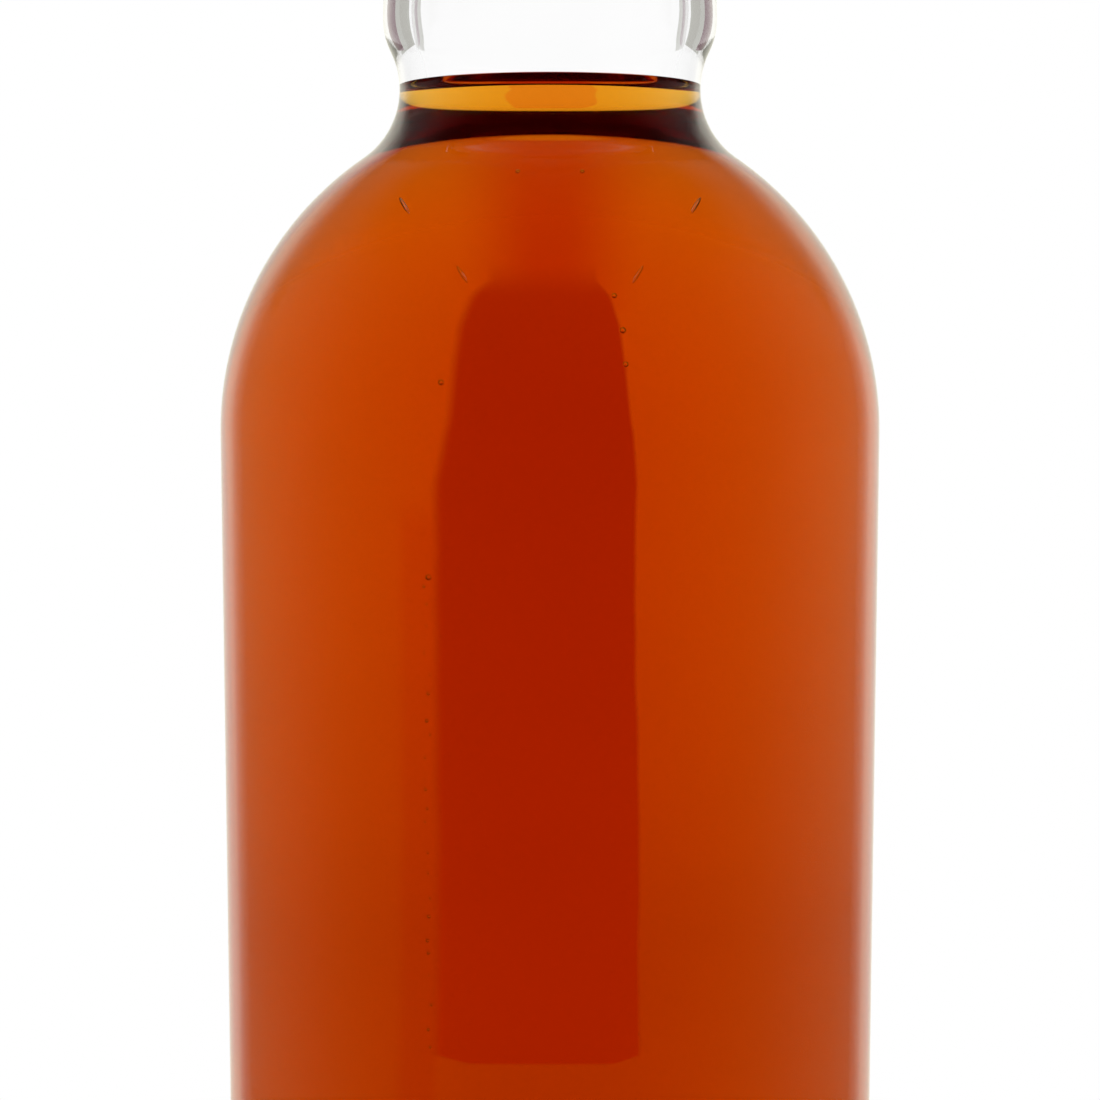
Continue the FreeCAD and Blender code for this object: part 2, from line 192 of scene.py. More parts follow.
def dome_to(rim, top):
    """The circle centred on the axis, with its top at that height, that touches the rim's circle outside."""
    drop = rim.z - top
    radius = (drop**2 + rim.r**2 - rim.radius**2) / (2 * (rim.radius - drop))
    return Circle(0.0, top - radius, radius)


def side_between(low, high):
    """The two ends of the straight side that touches a low and a high circle on their outer side."""
    across, up = high.r - low.r, high.z - low.z
    lean = math.atan2(up, across) - math.acos((low.radius - high.radius) / math.hypot(across, up))
    return low.at(lean), high.at(lean)


class Outline:
    """Half of a turned piece's section, as points (r, z), drawn on from its first ones."""

    def __init__(self, *first):
        self.points = list(first)

    def line(self, end, parts=1):
        start = self.points[-1]
        for share in (number / parts for number in range(1, parts + 1)):
            self.points.append(tuple(a + (b - a) * share for a, b in zip(start, end)))

    def arc(self, circle, end, finest=FINEST_TURN):
        """Goes on along the shorter arc of a circle to a point."""
        start = circle.turn_to(self.points[-1])
        turn = (circle.turn_to(end) - start + math.pi) % math.tau - math.pi
        parts = math.ceil(max(abs(turn) * circle.radius / ARC_STEP, abs(turn) / finest))
        for number in range(1, parts):
            self.points.append(circle.at(start + turn * number / parts))
        self.points.append(end)


# Circles that the outside follows.
ring_edge = FOOT_RADIUS - HEEL_RADIUS
ring_inner = ring_edge - RING_WIDTH
bulb_radius = WAIST_RADIUS + BULB_SWELL
punt_edge = Circle(ring_inner, PUNT_ROUND, PUNT_ROUND)
punt = dome_to(punt_edge, PUNT_DEPTH)
heel = Circle(ring_edge, HEEL_RADIUS, HEEL_RADIUS)
shoulder = Circle(0.0, SHOULDER_HEIGHT, BODY_RADIUS)
waist = shoulder.next_above(WAIST_RADIUS + WAIST_CURVE, WAIST_CURVE)
bulb = waist.next_above(bulb_radius - BULB_CURVE, BULB_CURVE)
swell = Circle(bulb_radius - NECK_SWELL, bulb.z, NECK_SWELL)
hollow = swell.next_above(THROAT_RADIUS + NECK_HOLLOW, NECK_HOLLOW)

# Circles that the inside follows.
waist_bore = WAIST_RADIUS - WAIST_WALL
bulb_bore = waist_bore + INNER_SWELL
mouth_bore = THROAT_RADIUS - THROAT_WALL
in_heel = Circle(FOOT_RADIUS - FOOT_WALL - INNER_HEEL, HEEL_FLOOR + INNER_HEEL, INNER_HEEL)
in_dome = dome_to(in_heel, PUNT_DEPTH + BASE_WALL)
in_shoulder = Circle(0.0, SHOULDER_HEIGHT, BODY_RADIUS - BODY_WALL)
in_waist = in_shoulder.next_above(waist_bore + INNER_WAIST, INNER_WAIST)
in_bulb = in_waist.next_above(bulb_bore - INNER_BULB, INNER_BULB)
in_swell = Circle(bulb_bore - BORE_SWELL, in_bulb.z, BORE_SWELL)
in_hollow = in_swell.next_above(mouth_bore + BORE_HOLLOW, BORE_HOLLOW)


def outside():
    """The outside of the glass, from the axis under the base to the inner edge of the lip."""
    side_low, side_high = side_between(heel, shoulder)
    mark_inner = ring_edge - (RING_WIDTH + MARK_LENGTH) / 2
    bead_low = LIP - BEAD_HEIGHT
    bead_radius = THROAT_RADIUS + BEAD_STAND
    root = Circle(THROAT_RADIUS + BEAD_ROOT, bead_low - BEAD_ROOT, BEAD_ROOT)
    bead_foot = Circle(bead_radius - BEAD_ROUND, bead_low + BEAD_ROUND, BEAD_ROUND)
    bead_top = Circle(bead_radius - BEAD_ROUND, LIP - BEAD_ROUND, BEAD_ROUND)

    out = Outline((0.0, PUNT_DEPTH))
    out.arc(punt, punt.touch(punt_edge))
    out.arc(punt_edge, (ring_inner, 0.0))
    out.line((mark_inner, 0.0))
    out.line((mark_inner + MARK_LENGTH, 0.0), parts=6)
    out.line((ring_edge, 0.0))
    out.arc(heel, side_low)
    out.line(side_high, parts=24)
    out.arc(shoulder, shoulder.touch(waist))
    out.arc(waist, waist.touch(bulb))
    out.arc(bulb, (bulb_radius, bulb.z))
    out.arc(swell, swell.touch(hollow))
    out.arc(hollow, (THROAT_RADIUS, hollow.z))
    out.line((THROAT_RADIUS, root.z), parts=2)
    out.arc(root, (root.r, bead_low))
    out.line((bead_foot.r, bead_low))
    out.arc(bead_foot, (bead_radius, bead_foot.z))
    out.line((bead_radius, bead_top.z), parts=3)
    out.arc(bead_top, (bead_top.r, LIP))
    out.line((mouth_bore + MOUTH_ROUND, LIP), parts=2)
    return out.points


def inside():
    """The inside of the glass, from the axis over the base to the inner edge of the lip."""
    in_low, in_high = side_between(in_heel, in_shoulder)
    mouth = Circle(mouth_bore + MOUTH_ROUND, LIP - MOUTH_ROUND, MOUTH_ROUND)

    into = Outline((0.0, PUNT_DEPTH + BASE_WALL))
    into.arc(in_dome, in_dome.touch(in_heel))
    into.arc(in_heel, in_low)
    into.line(in_high, parts=24)
    into.arc(in_shoulder, in_shoulder.touch(in_waist))
    into.arc(in_waist, in_waist.touch(in_bulb))
    into.arc(in_bulb, (bulb_bore, in_bulb.z))
    into.arc(in_swell, in_swell.touch(in_hollow))
    into.arc(in_hollow, (mouth_bore, in_hollow.z))
    into.line((mouth_bore, mouth.z), parts=12)
    into.arc(mouth, (mouth.r, LIP))
    return into.points


def pushed_out(points, distance):
    """Points moved away from the axis and the base, square to their line."""
    moved = []
    for number, (r, z) in enumerate(points):
        before = points[max(number - 1, 0)]
        after = points[min(number + 1, len(points) - 1)]
        along_r, along_z = after[0] - before[0], after[1] - before[1]
        length = math.hypot(along_r, along_z)
        moved.append((r + distance * along_z / length, z - distance * along_r / length))
    moved[0] = (0.0, points[0][1] - distance)
    return moved


def filling():
    """The whisky, from the axis over the base, up inside the wall, and back over its surface to the axis."""
    wall = [point for point in inside() if point[1] < RIM_OF_WHISKY]
    turn = math.asin((RIM_OF_WHISKY - in_waist.z) / INNER_WAIST)
    rim = in_waist.at(math.pi - turn)
    level = RIM_OF_WHISKY - CREEP_HEIGHT
    reach = math.sqrt(CREEP_HEIGHT * (2 * CREEP_CURVE - CREEP_HEIGHT))
    creep = Circle(rim[0] - reach, level + CREEP_CURVE, CREEP_CURVE)

    out = Outline(*pushed_out(wall + [rim], REACH_INTO_WALL))
    out.line(rim)
    out.arc(creep, (creep.r, level), finest=FINEST_RIM_TURN)
    out.line((creep.r - SURFACE_EDGE, level))
    out.line((0.0, level), parts=6)
    return out.points


def cork_outline():
    radius = (cork_high.x - cork_low.x) / 2 + CORK_PRESS
    out = Outline((0.0, cork_low.z))
    out.line((radius - SHANK_CHAMFER, cork_low.z), parts=14)
    out.line((radius, cork_low.z + SHANK_CHAMFER), parts=3)
    out.line((radius, cork_high.z), parts=56)
    out.line((0.0, cork_high.z), parts=4)
    return out.points


def head_outline():
    radius = (head_high.x - head_low.x) / 2
    top = Circle(radius - HEAD_ROUND, head_high.z - HEAD_ROUND, HEAD_ROUND)
    out = Outline((0.0, head_low.z))
    out.line((radius - HEAD_CHAMFER, head_low.z), parts=8)
    out.line((radius, head_low.z + HEAD_CHAMFER), parts=2)
    out.line((radius, top.z), parts=30)
    out.arc(top, (top.r, head_high.z))
    out.line((0.0, head_high.z), parts=60)
    return out.points


# ---------------------------------------------------------------- meshes


def placed(name, data):
    """A new object of the scene, with that mesh or camera."""
    made = bpy.data.objects.new(name, data)
    bpy.context.collection.objects.link(made)
    return made


def turned(name, points, shape=lambda r, turn, z: (r, z)):
    """A smooth mesh of an outline turned about the Z axis. shape(r, turn, z) gives each point's place."""
    turns = [math.tau * number / TURN_STEPS for number in range(TURN_STEPS)]
    vertices, rings = [], []
    for r, z in points:
        on_axis = r < ON_AXIS
        ring = []
        for turn in turns[:1] if on_axis else turns:
            new_r, new_z = shape(r, turn, z)
            ring.append(len(vertices))
            vertices.append((new_r * math.cos(turn), new_r * math.sin(turn), new_z))
        rings.append(ring * TURN_STEPS if on_axis else ring)
    faces = []
    for low, high in zip(rings, rings[1:]):
        for here in range(TURN_STEPS):
            there = (here + 1) % TURN_STEPS
            corners = (low[here], low[there], high[there], high[here])
            faces.append([c for place, c in enumerate(corners) if c != corners[place - 1]])
    mesh = bpy.data.meshes.new(name)
    mesh.from_pydata(vertices, [], faces)
    mesh.validate()
    mesh.shade_smooth()
    return placed(name, mesh)


def with_marks(r, turn, z):
    """Presses the grip marks into the ring that the bottle stands on."""
    place = abs(r - (ring_edge - RING_WIDTH / 2)) / (MARK_LENGTH / 2)
    if z > 1e-6 or place > 0.9:
        return r, z
    step = round(turn / math.tau * TURN_STEPS) % (TURN_STEPS // MARK_COUNT)
    return r, MARK_DEPTH if step < 2 else z


def with_pits(r, turn, z):
    """Pits and channels in the cork, where its bark had pores."""
    x, y = r * math.cos(turn), r * math.sin(turn)
    patch = noise.noise(Vector((x, y, z)) / PIT_PATCH)
    if r < ON_AXIS or patch <= NO_PITS_BELOW:
        return r, z
    nearest = noise.voronoi(Vector((x, y * PORE_STRETCH, z)) / CORK_PORE)[0][0]
    depth = PIT_DEPTH * max(0.0, 1 - nearest / (PIT_SHARE + PIT_SHARE_CHANGE * patch))
    nearness_to_end = max(0.0, 1 - (z - cork_low.z) / SHANK_CHAMFER)
    return r, z + depth * nearness_to_end


def with_turning(r, turn, z):
    """Fine rings left on the head by the lathe, and grain that stands a little proud of its stain."""
    if z < head_low.z + HEAD_CHAMFER:
        return r, z
    x, y = r * math.cos(turn), r * math.sin(turn)
    grain = noise.noise(Vector((x / GRAIN_WIDTH, y / GRAIN_WIDTH, z / GRAIN_LENGTH)))
    lathe = math.sin(math.tau * (r + z) / LATHE_PITCH)
    sunk = LATHE_DEPTH * max(0.0, 0.5 + LATHE_SHARE * lathe + GRAIN_SHARE * grain)
    on_top = z > head_high.z - HEAD_ROUND * 0.3
    return (r, z - sunk) if on_top else (r - sunk, z)


def radius_at(points, z):
    """The radius of an outline's upright part at a height."""
    for (low_r, low_z), (high_r, high_z) in zip(points, points[1:]):
        if low_z <= z < high_z and low_z > PUNT_DEPTH + BASE_WALL:
            return low_r + (high_r - low_r) * (z - low_z) / (high_z - low_z)
    raise ValueError(f"no wall at {z}")


def add_hollow(piece, turn, r, z, lean, tilt, halves):
    """Cuts an air-filled egg into a clear piece: its surface faces inward. lean turns it from upright in the
    wall, and tilt lays it back with the wall. halves are its half length, width and depth."""
    half_long, half_wide, half_deep = halves
    place = Matrix.Rotation(turn, 4, "Z") @ Matrix.Translation((r, 0, z)) @ Matrix.Rotation(-tilt, 4, "Y")
    shape = Matrix.Rotation(lean, 4, "X") @ Matrix.Diagonal((half_deep, half_wide, half_long, 1.0))
    mesh = bmesh.new()
    mesh.from_mesh(piece.data)
    made = bmesh.ops.create_icosphere(mesh, subdivisions=3, radius=1.0, matrix=place @ shape)
    faces = {face for vertex in made["verts"] for face in vertex.link_faces}
    bmesh.ops.reverse_faces(mesh, faces=list(faces))
    for face in faces:
        face.smooth = True
    mesh.to_mesh(piece.data)
    mesh.free()


def add_bubbles(piece, wall):
    """Bubbles of air that cling to the inside of the glass."""
    chance = random.Random(BUBBLE_COLUMN_SEED)
    bubbles = list(BUBBLES)
    for number in range(BUBBLE_COLUMN_COUNT):
        share = (number + chance.uniform(-BUBBLE_COLUMN_UNEVEN, BUBBLE_COLUMN_UNEVEN)) / BUBBLE_COLUMN_COUNT
        height = BUBBLE_COLUMN_TOP - share * BUBBLE_COLUMN_LENGTH
        turn = BUBBLE_COLUMN_TURN + chance.uniform(-BUBBLE_COLUMN_SWAY, BUBBLE_COLUMN_SWAY)
        bubbles.append((turn, height, chance.uniform(*BUBBLE_COLUMN_RADII)))
    for turn, above_shoulder, radius in bubbles:
        z = SHOULDER_HEIGHT + above_shoulder
        r = radius_at(wall, z) - radius - BUBBLE_GAP
        add_hollow(piece, math.radians(turn) - math.pi / 2, r, z, 0.0, 0.0, (radius, radius, radius))


def add_seeds(piece, outer, inner):
    """Drawn-out seeds of air in the shoulder's glass, which show as dark dashes."""
    for turn, above_shoulder, lean, half_long, half_wide in SEEDS:
        z = SHOULDER_HEIGHT + above_shoulder
        r = (radius_at(outer, z) + radius_at(inner, z)) / 2
        tilt = math.asin(above_shoulder / BODY_RADIUS)
        halves = (half_long, half_wide, SEED_HALF_DEEP)
        for side in (-1, 1):
            around = math.radians(side * turn) - math.pi / 2
            add_hollow(piece, around, r, z, -side * math.radians(lean), tilt, halves)


def dressed(piece, node, material):
    """Lets a piece stand for a CAD node."""
    piece.data.materials.append(material)
    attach(piece, "root")
    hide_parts(node)


# ---------------------------------------------------------------- materials

BLACK = (0.0, 0.0, 0.0, 1.0)
WHITE = (1.0, 1.0, 1.0, 1.0)

GLASS_IOR = 1.52
WHISKY_IOR = 1.36
WHISKY_ABSORBED = (8.0, 41.0, 150.0)
CLOUDS = [(0.35, 0.985), (0.65, 1.0)]

# Colours by how strong the cork's blotches and the wood's rings are.
CORK_COLOURS = [(0.25, (0.34, 0.19, 0.09)), (0.5, (0.50, 0.31, 0.16)), (0.75, (0.62, 0.42, 0.24))]
CORK_PORE_COLOUR = (0.10, 0.045, 0.02, 1.0)
CORK_RELIEF = 0.12 * MM
WOOD_COLOURS = [(0.2, (0.062, 0.028, 0.013)), (0.5, (0.042, 0.018, 0.009)), (0.8, (0.022, 0.009, 0.005))]
WOOD_PORE_COLOUR = (0.008, 0.004, 0.002, 1.0)
WOOD_RELIEF = 0.05 * MM
PITH_PLACE = (21 * MM, 12 * MM, 0.0)


class Nodes:
    """A short way to write a node tree: each call adds a node, sets its inputs and links what is a socket."""

    def __init__(self, owner):
        owner.use_nodes = True
        self.tree = owner.node_tree
        self.tree.nodes.clear()

    def add(self, kind, inputs=(), **settings):
        node = self.tree.nodes.new(kind)
        for name, value in settings.items():
            setattr(node, name, value)
        for socket, value in dict(inputs).items():
            if isinstance(value, bpy.types.NodeSocket):
                self.tree.links.new(value, node.inputs[socket])
            else:
                node.inputs[socket].default_value = value
        return node

    def math(self, operation, *values):
        return self.add("ShaderNodeMath", dict(enumerate(values)), operation=operation).outputs[0]

    def mix(self, blend, factor, first, second):
        inputs = {0: factor, 6: first, 7: second}
        return self.add("ShaderNodeMix", inputs, data_type="RGBA", blend_type=blend).outputs[2]

    def place(self):
        return self.add("ShaderNodeTexCoord").outputs["Object"]

    def stretched(self, place, scale):
        return self.add("ShaderNodeMapping", {"Vector": place, "Scale": scale}).outputs[0]

    def noise(self, place, scale, detail):
        inputs = {"Vector": place, "Scale": scale, "Detail": detail}
        return self.add("ShaderNodeTexNoise", inputs).outputs["Fac"]

    def bump(self, relief, distance, strength):
        inputs = {"Height": relief, "Distance": distance, "Strength": strength}
        return self.add("ShaderNodeBump", inputs).outputs[0]

    def ramp(self, value, stops):
        """Colours or greys by value, as pairs of place and colour."""
        node = self.add("ShaderNodeValToRGB", {0: value})
        elements = node.color_ramp.elements
        while len(elements) > 1:
            elements.remove(elements[-1])
        for number, (place, colour) in enumerate(stops):
            element = elements[0] if number == 0 else elements.new(place)
            element.position = place
            rgb = colour if isinstance(colour, tuple) else (colour, colour, colour)
            element.color = (*rgb, 1.0)
        return node.outputs[0]


def new_material(name):
    material = bpy.data.materials.new(name)
    return material, Nodes(material)


def clear(name, ior, absorbed=None):
    """A clear material with faint clouds. absorbed is what it takes of red, green and blue, per metre."""
    material, n = new_material(name)
    inputs = {
        "Base Color": n.ramp(n.noise(n.place(), 45.0, 3.0), CLOUDS),
        "Transmission Weight": 1.0,
        "Roughness": 0.0,
        "IOR": ior,
        "Specular Tint": BLACK,
    }
    ends = {"Surface": n.add("ShaderNodeBsdfPrincipled", inputs).outputs[0]}
    if absorbed:
        density = max(absorbed)
        colour = tuple(1 - one / density for one in absorbed) + (1.0,)
        volume = n.add("ShaderNodeVolumeAbsorption", {"Color": colour, "Density": density})
        ends["Volume"] = volume.outputs[0]
    n.add("ShaderNodeOutputMaterial", ends)
    return material


def natural_cork():
    """Pale cork: soft blotches, fine cells, and dark pores that are longer one way."""
    material, n = new_material("natural_cork")
    place = n.place()
    blotch = n.noise(place, 160.0, 5.0)
    cells = n.noise(place, 1500.0, 3.0)
    long = n.stretched(place, (1.0, PORE_STRETCH, 1.0))
    pore = n.add("ShaderNodeTexVoronoi", {"Vector": long, "Scale": 520.0}).outputs["Distance"]
    flecks = n.ramp(cells, [(0.35, 0.62), (0.6, 1.0)])
    flecked = n.mix("MULTIPLY", 0.55, n.ramp(blotch, CORK_COLOURS), flecks)
    pores = n.ramp(n.math("ADD", pore, n.math("MULTIPLY", blotch, 0.35)), [(0.22, 1.0), (0.34, 0.0)])
    inputs = {
        "Base Color": n.mix("MIX", pores, flecked, CORK_PORE_COLOUR),
        "Roughness": n.ramp(blotch, [(0.3, 0.95), (0.7, 0.78)]),
        "Normal": n.bump(n.math("SUBTRACT", cells, pores), CORK_RELIEF, 0.8),
    }
    n.add("ShaderNodeOutputMaterial", {"Surface": n.add("ShaderNodeBsdfPrincipled", inputs).outputs[0]})
    return material


def stained_wood():
    """Dark stained hardwood, thinly waxed: year rings round a pith beside the head, pores along the axis."""
    material, n = new_material("dark_stained_wood")
    place = n.place()
    pith = n.add("ShaderNodeMapping", {"Vector": place, "Location": PITH_PLACE, "Scale": (1, 1, 0.06)})
    years = n.add(
        "ShaderNodeTexWave",
        {"Vector": pith.outputs[0], "Scale": 110.0, "Distortion": 7.0, "Detail": 4.0, "Detail Scale": 1.1},
        wave_type="RINGS",
        rings_direction="Z",
        wave_profile="SAW",
    ).outputs["Fac"]
    along = n.stretched(place, (1, 1, 0.07))
    pore = n.noise(along, 2600.0, 2.0)
    cloud = n.noise(place, 90.0, 3.0)
    streak = n.noise(along, 420.0, 4.0)
    rings = n.math("ADD", n.math("MULTIPLY", years, 0.45), n.math("MULTIPLY", streak, 0.55))
    shade = n.ramp(cloud, [(0.3, 0.55), (0.7, 1.25)])
    clouded = n.mix("MULTIPLY", 0.6, n.ramp(rings, WOOD_COLOURS), shade)
    open_pores = n.ramp(pore, [(0.32, 1.0), (0.42, 0.0)])
    relief = n.math("SUBTRACT", n.math("MULTIPLY", rings, -0.25), open_pores)
    dull = n.ramp(cloud, [(0.3, 0.34), (0.7, 0.46)])
    inputs = {
        "Base Color": n.mix("MIX", open_pores, clouded, WOOD_PORE_COLOUR),
        "Roughness": n.math("ADD", dull, n.math("MULTIPLY", open_pores, 0.25)),
        "Normal": n.bump(relief, WOOD_RELIEF, 0.6),
        "Coat Weight": 0.25,
        "Coat Roughness": 0.3,
    }
    n.add("ShaderNodeOutputMaterial", {"Surface": n.add("ShaderNodeBsdfPrincipled", inputs).outputs[0]})
    return material


# ---------------------------------------------------------------- pieces

glass = turned("glass_bottle", outside() + list(reversed(inside()))[1:], with_marks)
add_seeds(glass, outside(), inside())
dressed(glass, "bottle_glass", clear("clear_glass", GLASS_IOR))

whisky = turned("whisky_filling", filling())
add_bubbles(whisky, inside())
dressed(whisky, "whisky", clear("amber_whisky", WHISKY_IOR, WHISKY_ABSORBED))

cork = turned("cork", cork_outline(), with_pits)
dressed(cork, "cork_shank", natural_cork())

head = turned("head_of_stopper", head_outline(), with_turning)
dressed(head, "stopper_head", stained_wood())

# ---------------------------------------------------------------- studio

CAMERA_DISTANCE = 0.70
VIEW_WIDTH = 140.43 * MM
AIM_BELOW_SHOULDER = 15.32 * MM

camera = placed("camera", bpy.data.cameras.new("camera"))
camera.location = (0.0, -CAMERA_DISTANCE, SHOULDER_HEIGHT - AIM_BELOW_SHOULDER)
camera.rotation_euler = (math.pi / 2, 0.0, 0.0)
camera.data.sensor_width = 36.0
camera.data.lens = camera.data.sensor_width * CAMERA_DISTANCE / VIEW_WIDTH
camera.data.clip_start = 0.01
scene = bpy.context.scene
scene.camera = camera

# The floor is a disc of white paper that goes over into the white of the world.
FLOOR_RADIUS = 0.62
FLOOR_CORNERS = 128
FLOOR_PAPER = (0.92, 0.92, 0.92, 1.0)
FLOOR_FADE = [(0.2, 0.0), (0.75, 1.0)]


def white_floor():
    material, n = new_material("white_floor")
    far = n.add("ShaderNodeVectorMath", {0: n.place()}, operation="LENGTH").outputs["Value"]
    fade = n.ramp(n.math("DIVIDE", far, FLOOR_RADIUS), FLOOR_FADE)
    paper = n.add("ShaderNodeBsdfDiffuse", {"Color": FLOOR_PAPER})
    white = n.add("ShaderNodeEmission", {"Color": WHITE})
    mixed = n.add("ShaderNodeMixShader", {0: fade, 1: paper.outputs[0], 2: white.outputs[0]})
    n.add("ShaderNodeOutputMaterial", {"Surface": mixed.outputs[0]})
    return material


floor = placed("floor", bpy.data.meshes.new("floor"))
turns = [math.tau * number / FLOOR_CORNERS for number in range(FLOOR_CORNERS)]
edge = [(FLOOR_RADIUS * math.cos(turn), FLOOR_RADIUS * math.sin(turn), 0) for turn in turns]
floor.data.from_pydata(edge, [], [tuple(range(FLOOR_CORNERS))])
floor.data.materials.append(white_floor())
floor.visible_glossy = False

# Cards and a gel close behind the bottle, seen only through it, paint shade into what the glass shows.
# The gel paints a deeper shade into the middle of the whisky: a long strip, a painted shade over it, a faint
# band on its left, and a narrow line behind the neck. It also paints shade toward its foot. Its x runs across,
# its z up.
BEHIND = BODY_RADIUS + 1 * MM
GEL_HALF = 75 * MM
GEL_LOW = 0.0
GEL_TOP = SHOULDER_HEIGHT + 43 * MM
# Painted shade that deepens the gel toward its foot, by share of its height.
LOW_TINTS = [
    (0.40, (0.75, 0.58, 0.42)),
    (0.52, (0.84, 0.71, 0.56)),
    (0.69, (0.93, 0.86, 0.75)),
    (0.80, (0.97, 0.95, 0.9)),
    (0.86, 1.0),
]
SWAY = 0.8 * MM
STRIP_LEFT = -7.4 * MM
STRIP_RIGHT = 5.7 * MM
STRIP_LOW = SHOULDER_HEIGHT - 82.6 * MM
STRIP_TOP = SHOULDER_HEIGHT + 10.5 * MM
STRIP_SOFT_LEFT = 0.9 * MM
STRIP_SOFT_RIGHT = 0.35 * MM
STRIP_SOFT_LOW = 0.5 * MM
STRIP_SOFT_TOP = 2.2 * MM
# The strip's painted shade: a deep amber that the whisky shows in its middle.
STRIP_TINT = (0.70, 0.30, 0.06, 1.0)
# A painted shade over the strip, deepest in its middle.
UPPER_SHADE_HALF = 5.5 * MM
UPPER_SHADE_TOP = SHOULDER_HEIGHT + 15.6 * MM
UPPER_SHADE_SOFT_TOP = 0.8 * MM
UPPER_SHADE_OVERLAP = 2 * MM
UPPER_SHADE_SOFT_LOW = 1 * MM
UPPER_SHADE_TINT = (0.86, 0.45, 0.25, 1.0)
# A faint painted shade in a band on the strip's left.
BAND_LEFT = -9.4 * MM
BAND_TOP = SHOULDER_HEIGHT - 10 * MM
BAND_SOFT = 0.8 * MM
BAND_SOFT_TOP = 6 * MM
BAND_TINT = (0.97, 0.82, 0.55, 1.0)
# A narrow line of painted shade behind the neck.
NECK_LINE_HALF = 0.42 * MM
NECK_LINE_SOFT = 0.08 * MM
NECK_LINE_LOW = SHOULDER_HEIGHT + 27 * MM
NECK_LINE_SOFT_LOW = 1 * MM
NECK_TINT = (0.97, 0.74, 0.8, 1.0)

# The strip's width at shares of its height, as shares of its full width.
STRIP_SHAPE = [
    (0.0, 0.72),
    (0.012, 1.0),
    (0.82, 1.0),
    (0.89, 0.955),
    (0.94, 0.87),
    (0.97, 0.79),
    (0.99, 0.66),
    (1.0, 0.5),
]


def flat_card(name, low, high, behind, paint, far_behind=None):
    """An upright card that only clear things show, from its low corner to its high one in x and z. It stands
    square to the front, or turned so that its second edge is further behind."""
    far = behind if far_behind is None else far_behind
    card = placed(name, bpy.data.meshes.new(name))
    near_edge = [(low[0], behind, z) for z in (low[1], high[1])]
    far_edge = [(high[0], far, z) for z in (low[1], high[1])]
    card.data.from_pydata(near_edge + far_edge, [], [(0, 2, 3, 1)])
    card.data.materials.append(paint)
    for kind in ("camera", "diffuse", "glossy", "shadow"):
        setattr(card, "visible_" + kind, False)


# A card that glows in one colour, for painted shade seen through the glass.
def plain_card(name, colour):
    material, n = new_material(name)
    painted_shade = n.add("ShaderNodeEmission", {"Color": colour, "Strength": 1.0})
    n.add("ShaderNodeOutputMaterial", {"Surface": painted_shade.outputs[0]})
    return material


def painted_shade_gel():
    # Painted shade seen only through the bottle: a deep amber strip, and a filter that deepens the whisky over
    # it, in a band, behind the neck and toward the foot.
    material, n = new_material("painted_shade_gel")
    place = n.place()
    x, _, z = n.add("ShaderNodeSeparateXYZ", {0: place}).outputs
    sway = n.math("SUBTRACT", n.noise(place, 55.0, 1.0), 0.5)
    x = n.math("ADD", x, n.math("MULTIPLY", sway, SWAY))
    aside = n.math("ABSOLUTE", x)

    def past(value, edge, soft):
        """0 before an edge and 1 past it, over a soft width. A negative width goes the other way."""
        low, high = n.math("SUBTRACT", edge, soft / 2), n.math("ADD", edge, soft / 2)
        inputs = {"Value": value, "From Min": low, "From Max": high}
        return n.add("ShaderNodeMapRange", inputs, interpolation_type="SMOOTHSTEP").outputs[0]

    def both(*parts):
        whole = parts[0]
        for part in parts[1:]:
            whole = n.math("MULTIPLY", whole, part)
        return whole

    rise = n.math("DIVIDE", n.math("SUBTRACT", z, STRIP_LOW), STRIP_TOP - STRIP_LOW)
    share = n.ramp(rise, STRIP_SHAPE)
    strip = both(
        past(x, n.math("MULTIPLY", STRIP_LEFT, share), STRIP_SOFT_LEFT),
        past(x, n.math("MULTIPLY", STRIP_RIGHT, share), -STRIP_SOFT_RIGHT),
        past(z, STRIP_LOW, STRIP_SOFT_LOW),
        past(z, STRIP_TOP, -STRIP_SOFT_TOP),
    )
    # The painted shade over the strip.
    painted_shade = both(
        past(aside, UPPER_SHADE_HALF * 0.6, -UPPER_SHADE_HALF),
        past(z, UPPER_SHADE_TOP, -UPPER_SHADE_SOFT_TOP),
        past(z, STRIP_TOP - UPPER_SHADE_OVERLAP, UPPER_SHADE_SOFT_LOW),
    )
    # The band of faint painted shade.
    band = both(
        past(x, BAND_LEFT, BAND_SOFT),
        past(x, STRIP_LEFT, -BAND_SOFT),
        past(z, BAND_TOP, -BAND_SOFT_TOP),
    )
    # The line of painted shade behind the neck.
    line = both(
        past(aside, NECK_LINE_HALF, -NECK_LINE_SOFT),
        past(z, NECK_LINE_LOW, NECK_LINE_SOFT_LOW),
    )
    # The painted shade toward the foot fades to white at the gel's sides.
    wide = past(aside, GEL_HALF * 0.75, -GEL_HALF * 0.5)
    tint = n.mix("MIX", wide, WHITE, n.ramp(n.math("DIVIDE", z, GEL_TOP), LOW_TINTS))
    # Each part multiplies the gel by its painted shade.
    for part, colour in ((painted_shade, UPPER_SHADE_TINT), (band, BAND_TINT), (line, NECK_TINT)):
        tint = n.mix("MULTIPLY", part, tint, colour)
    gel = n.add("ShaderNodeBsdfTransparent", {"Color": tint})
    # The strip paints a deep amber shade in place of the white behind it.
    deep = n.add("ShaderNodeEmission", {"Color": STRIP_TINT, "Strength": 1.0})
    mixed = n.add("ShaderNodeMixShader", {0: strip, 1: gel.outputs[0], 2: deep.outputs[0]})
    n.add("ShaderNodeOutputMaterial", {"Surface": mixed.outputs[0]})
    return material


flat_card("painted_shade_gel_behind", (-GEL_HALF, GEL_LOW), (GEL_HALF, GEL_TOP), BEHIND, painted_shade_gel())

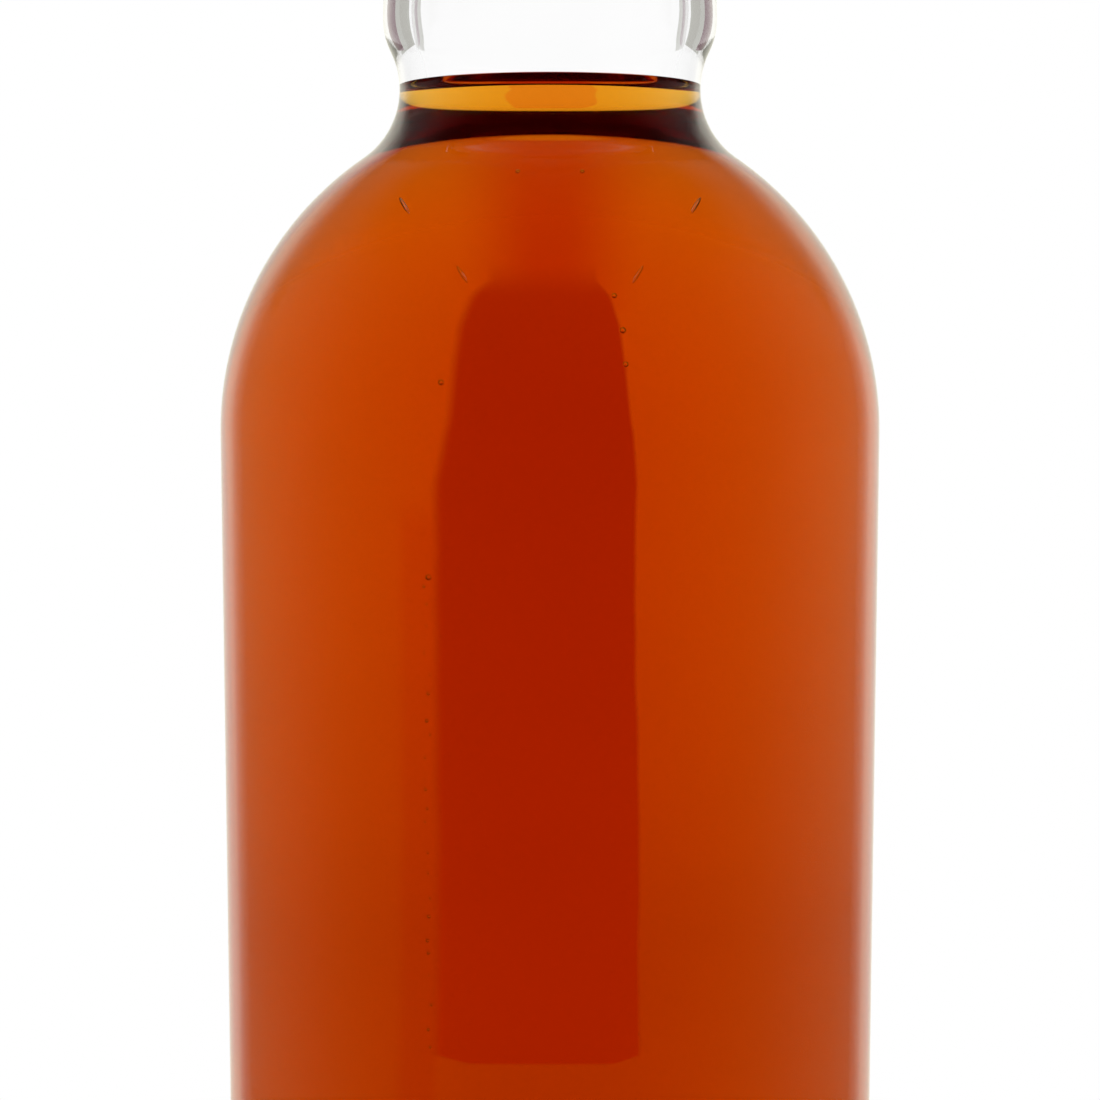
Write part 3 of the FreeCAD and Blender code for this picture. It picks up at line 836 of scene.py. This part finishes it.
# Grey wings and narrow dark slats beside the neck, seen only through it, paint shade on its thick edges.
WING_LOW = 190.3 * MM
WING_TOP = 208 * MM
WING_START = 54 * MM
WING_END = 130 * MM
WING_BEHIND = 85 * MM
# The wings' painted shade.
WING_GREY = (0.53, 0.53, 0.49, 1.0)
SLAT_LOW = 188 * MM
SLAT_TOP = 194.5 * MM
SLAT_START = 21.4 * MM
SLAT_END = 27.4 * MM
SLAT_BEHIND = 4.7 * MM
SLAT_FAR_BEHIND = 10.7 * MM
# The slats' darker painted shade.
SLAT_PURPLE = (0.26, 0.17, 0.19, 1.0)

grey_paint = plain_card("grey_wing", WING_GREY)
purple_paint = plain_card("purple_slat", SLAT_PURPLE)
for side, name in ((-1, "left"), (1, "right")):
    low, high = (side * WING_START, WING_LOW), (side * WING_END, WING_TOP)
    flat_card(name + "_wing", low, high, WING_BEHIND, grey_paint)
    low, high = (side * SLAT_START, SLAT_LOW), (side * SLAT_END, SLAT_TOP)
    flat_card(name + "_slat", low, high, SLAT_BEHIND, purple_paint, SLAT_FAR_BEHIND)

# The world is white to the camera, and white through clear things up to a dim ceiling. Reflections see a white
# wall behind the bottle and a dim room. The greys are given by degrees: aside from straight behind, up or down
# from level, and up from level.
WALL_TINT = (1.0, 0.98, 0.84, 1.0)
WALL_ASIDE = [(0, 1.0), (31, 1.0), (38, 0.5), (46, 0.12), (60, 0.04), (180, 0.03)]
WALL_HEIGHT = [(0, 1.0), (22, 1.0), (34, 0.05), (90, 0.03)]
CEILING = [(-90, 1.0), (35, 1.0), (50, 0.1), (90, 0.05)]


def studio_world():
    world = bpy.data.worlds.new("studio")
    n = Nodes(world)
    generated = n.add("ShaderNodeTexCoord").outputs["Generated"]
    across, behind, up = n.add("ShaderNodeSeparateXYZ", {0: generated}).outputs
    aside = n.math("ABSOLUTE", n.math("ARCTAN2", across, behind))
    rise = n.math("ARCSINE", up)

    def by_degrees(angle, stops, at_level=0.0):
        """Greys by an angle, which the ramp takes in half turns from where level is."""
        half_turns = n.math("ADD", n.math("DIVIDE", angle, math.pi), at_level)
        return n.ramp(half_turns, [(at_level + degrees / 180, shade) for degrees, shade in stops])

    wall = n.mix("MULTIPLY", 1.0, by_degrees(aside, WALL_ASIDE), WALL_TINT)
    wall = n.mix("MULTIPLY", 1.0, wall, by_degrees(n.math("ABSOLUTE", rise), WALL_HEIGHT))
    ray = n.add("ShaderNodeLightPath").outputs
    passed = ray["Is Transmission Ray"]
    mirrored = n.math("MULTIPLY", ray["Is Glossy Ray"], n.math("SUBTRACT", 1.0, passed))
    through = n.mix("MIX", passed, WHITE, by_degrees(rise, CEILING, at_level=0.5))
    seen = n.mix("MIX", mirrored, through, wall)
    background = n.add("ShaderNodeBackground", {"Color": seen, "Strength": 1.0})
    n.add("ShaderNodeOutputWorld", {"Surface": background.outputs[0]})
    return world


scene.world = studio_world()

scene.cycles.max_bounces = 64
scene.cycles.transmission_bounces = 64
scene.cycles.glossy_bounces = 16
scene.view_settings.view_transform = "Standard"
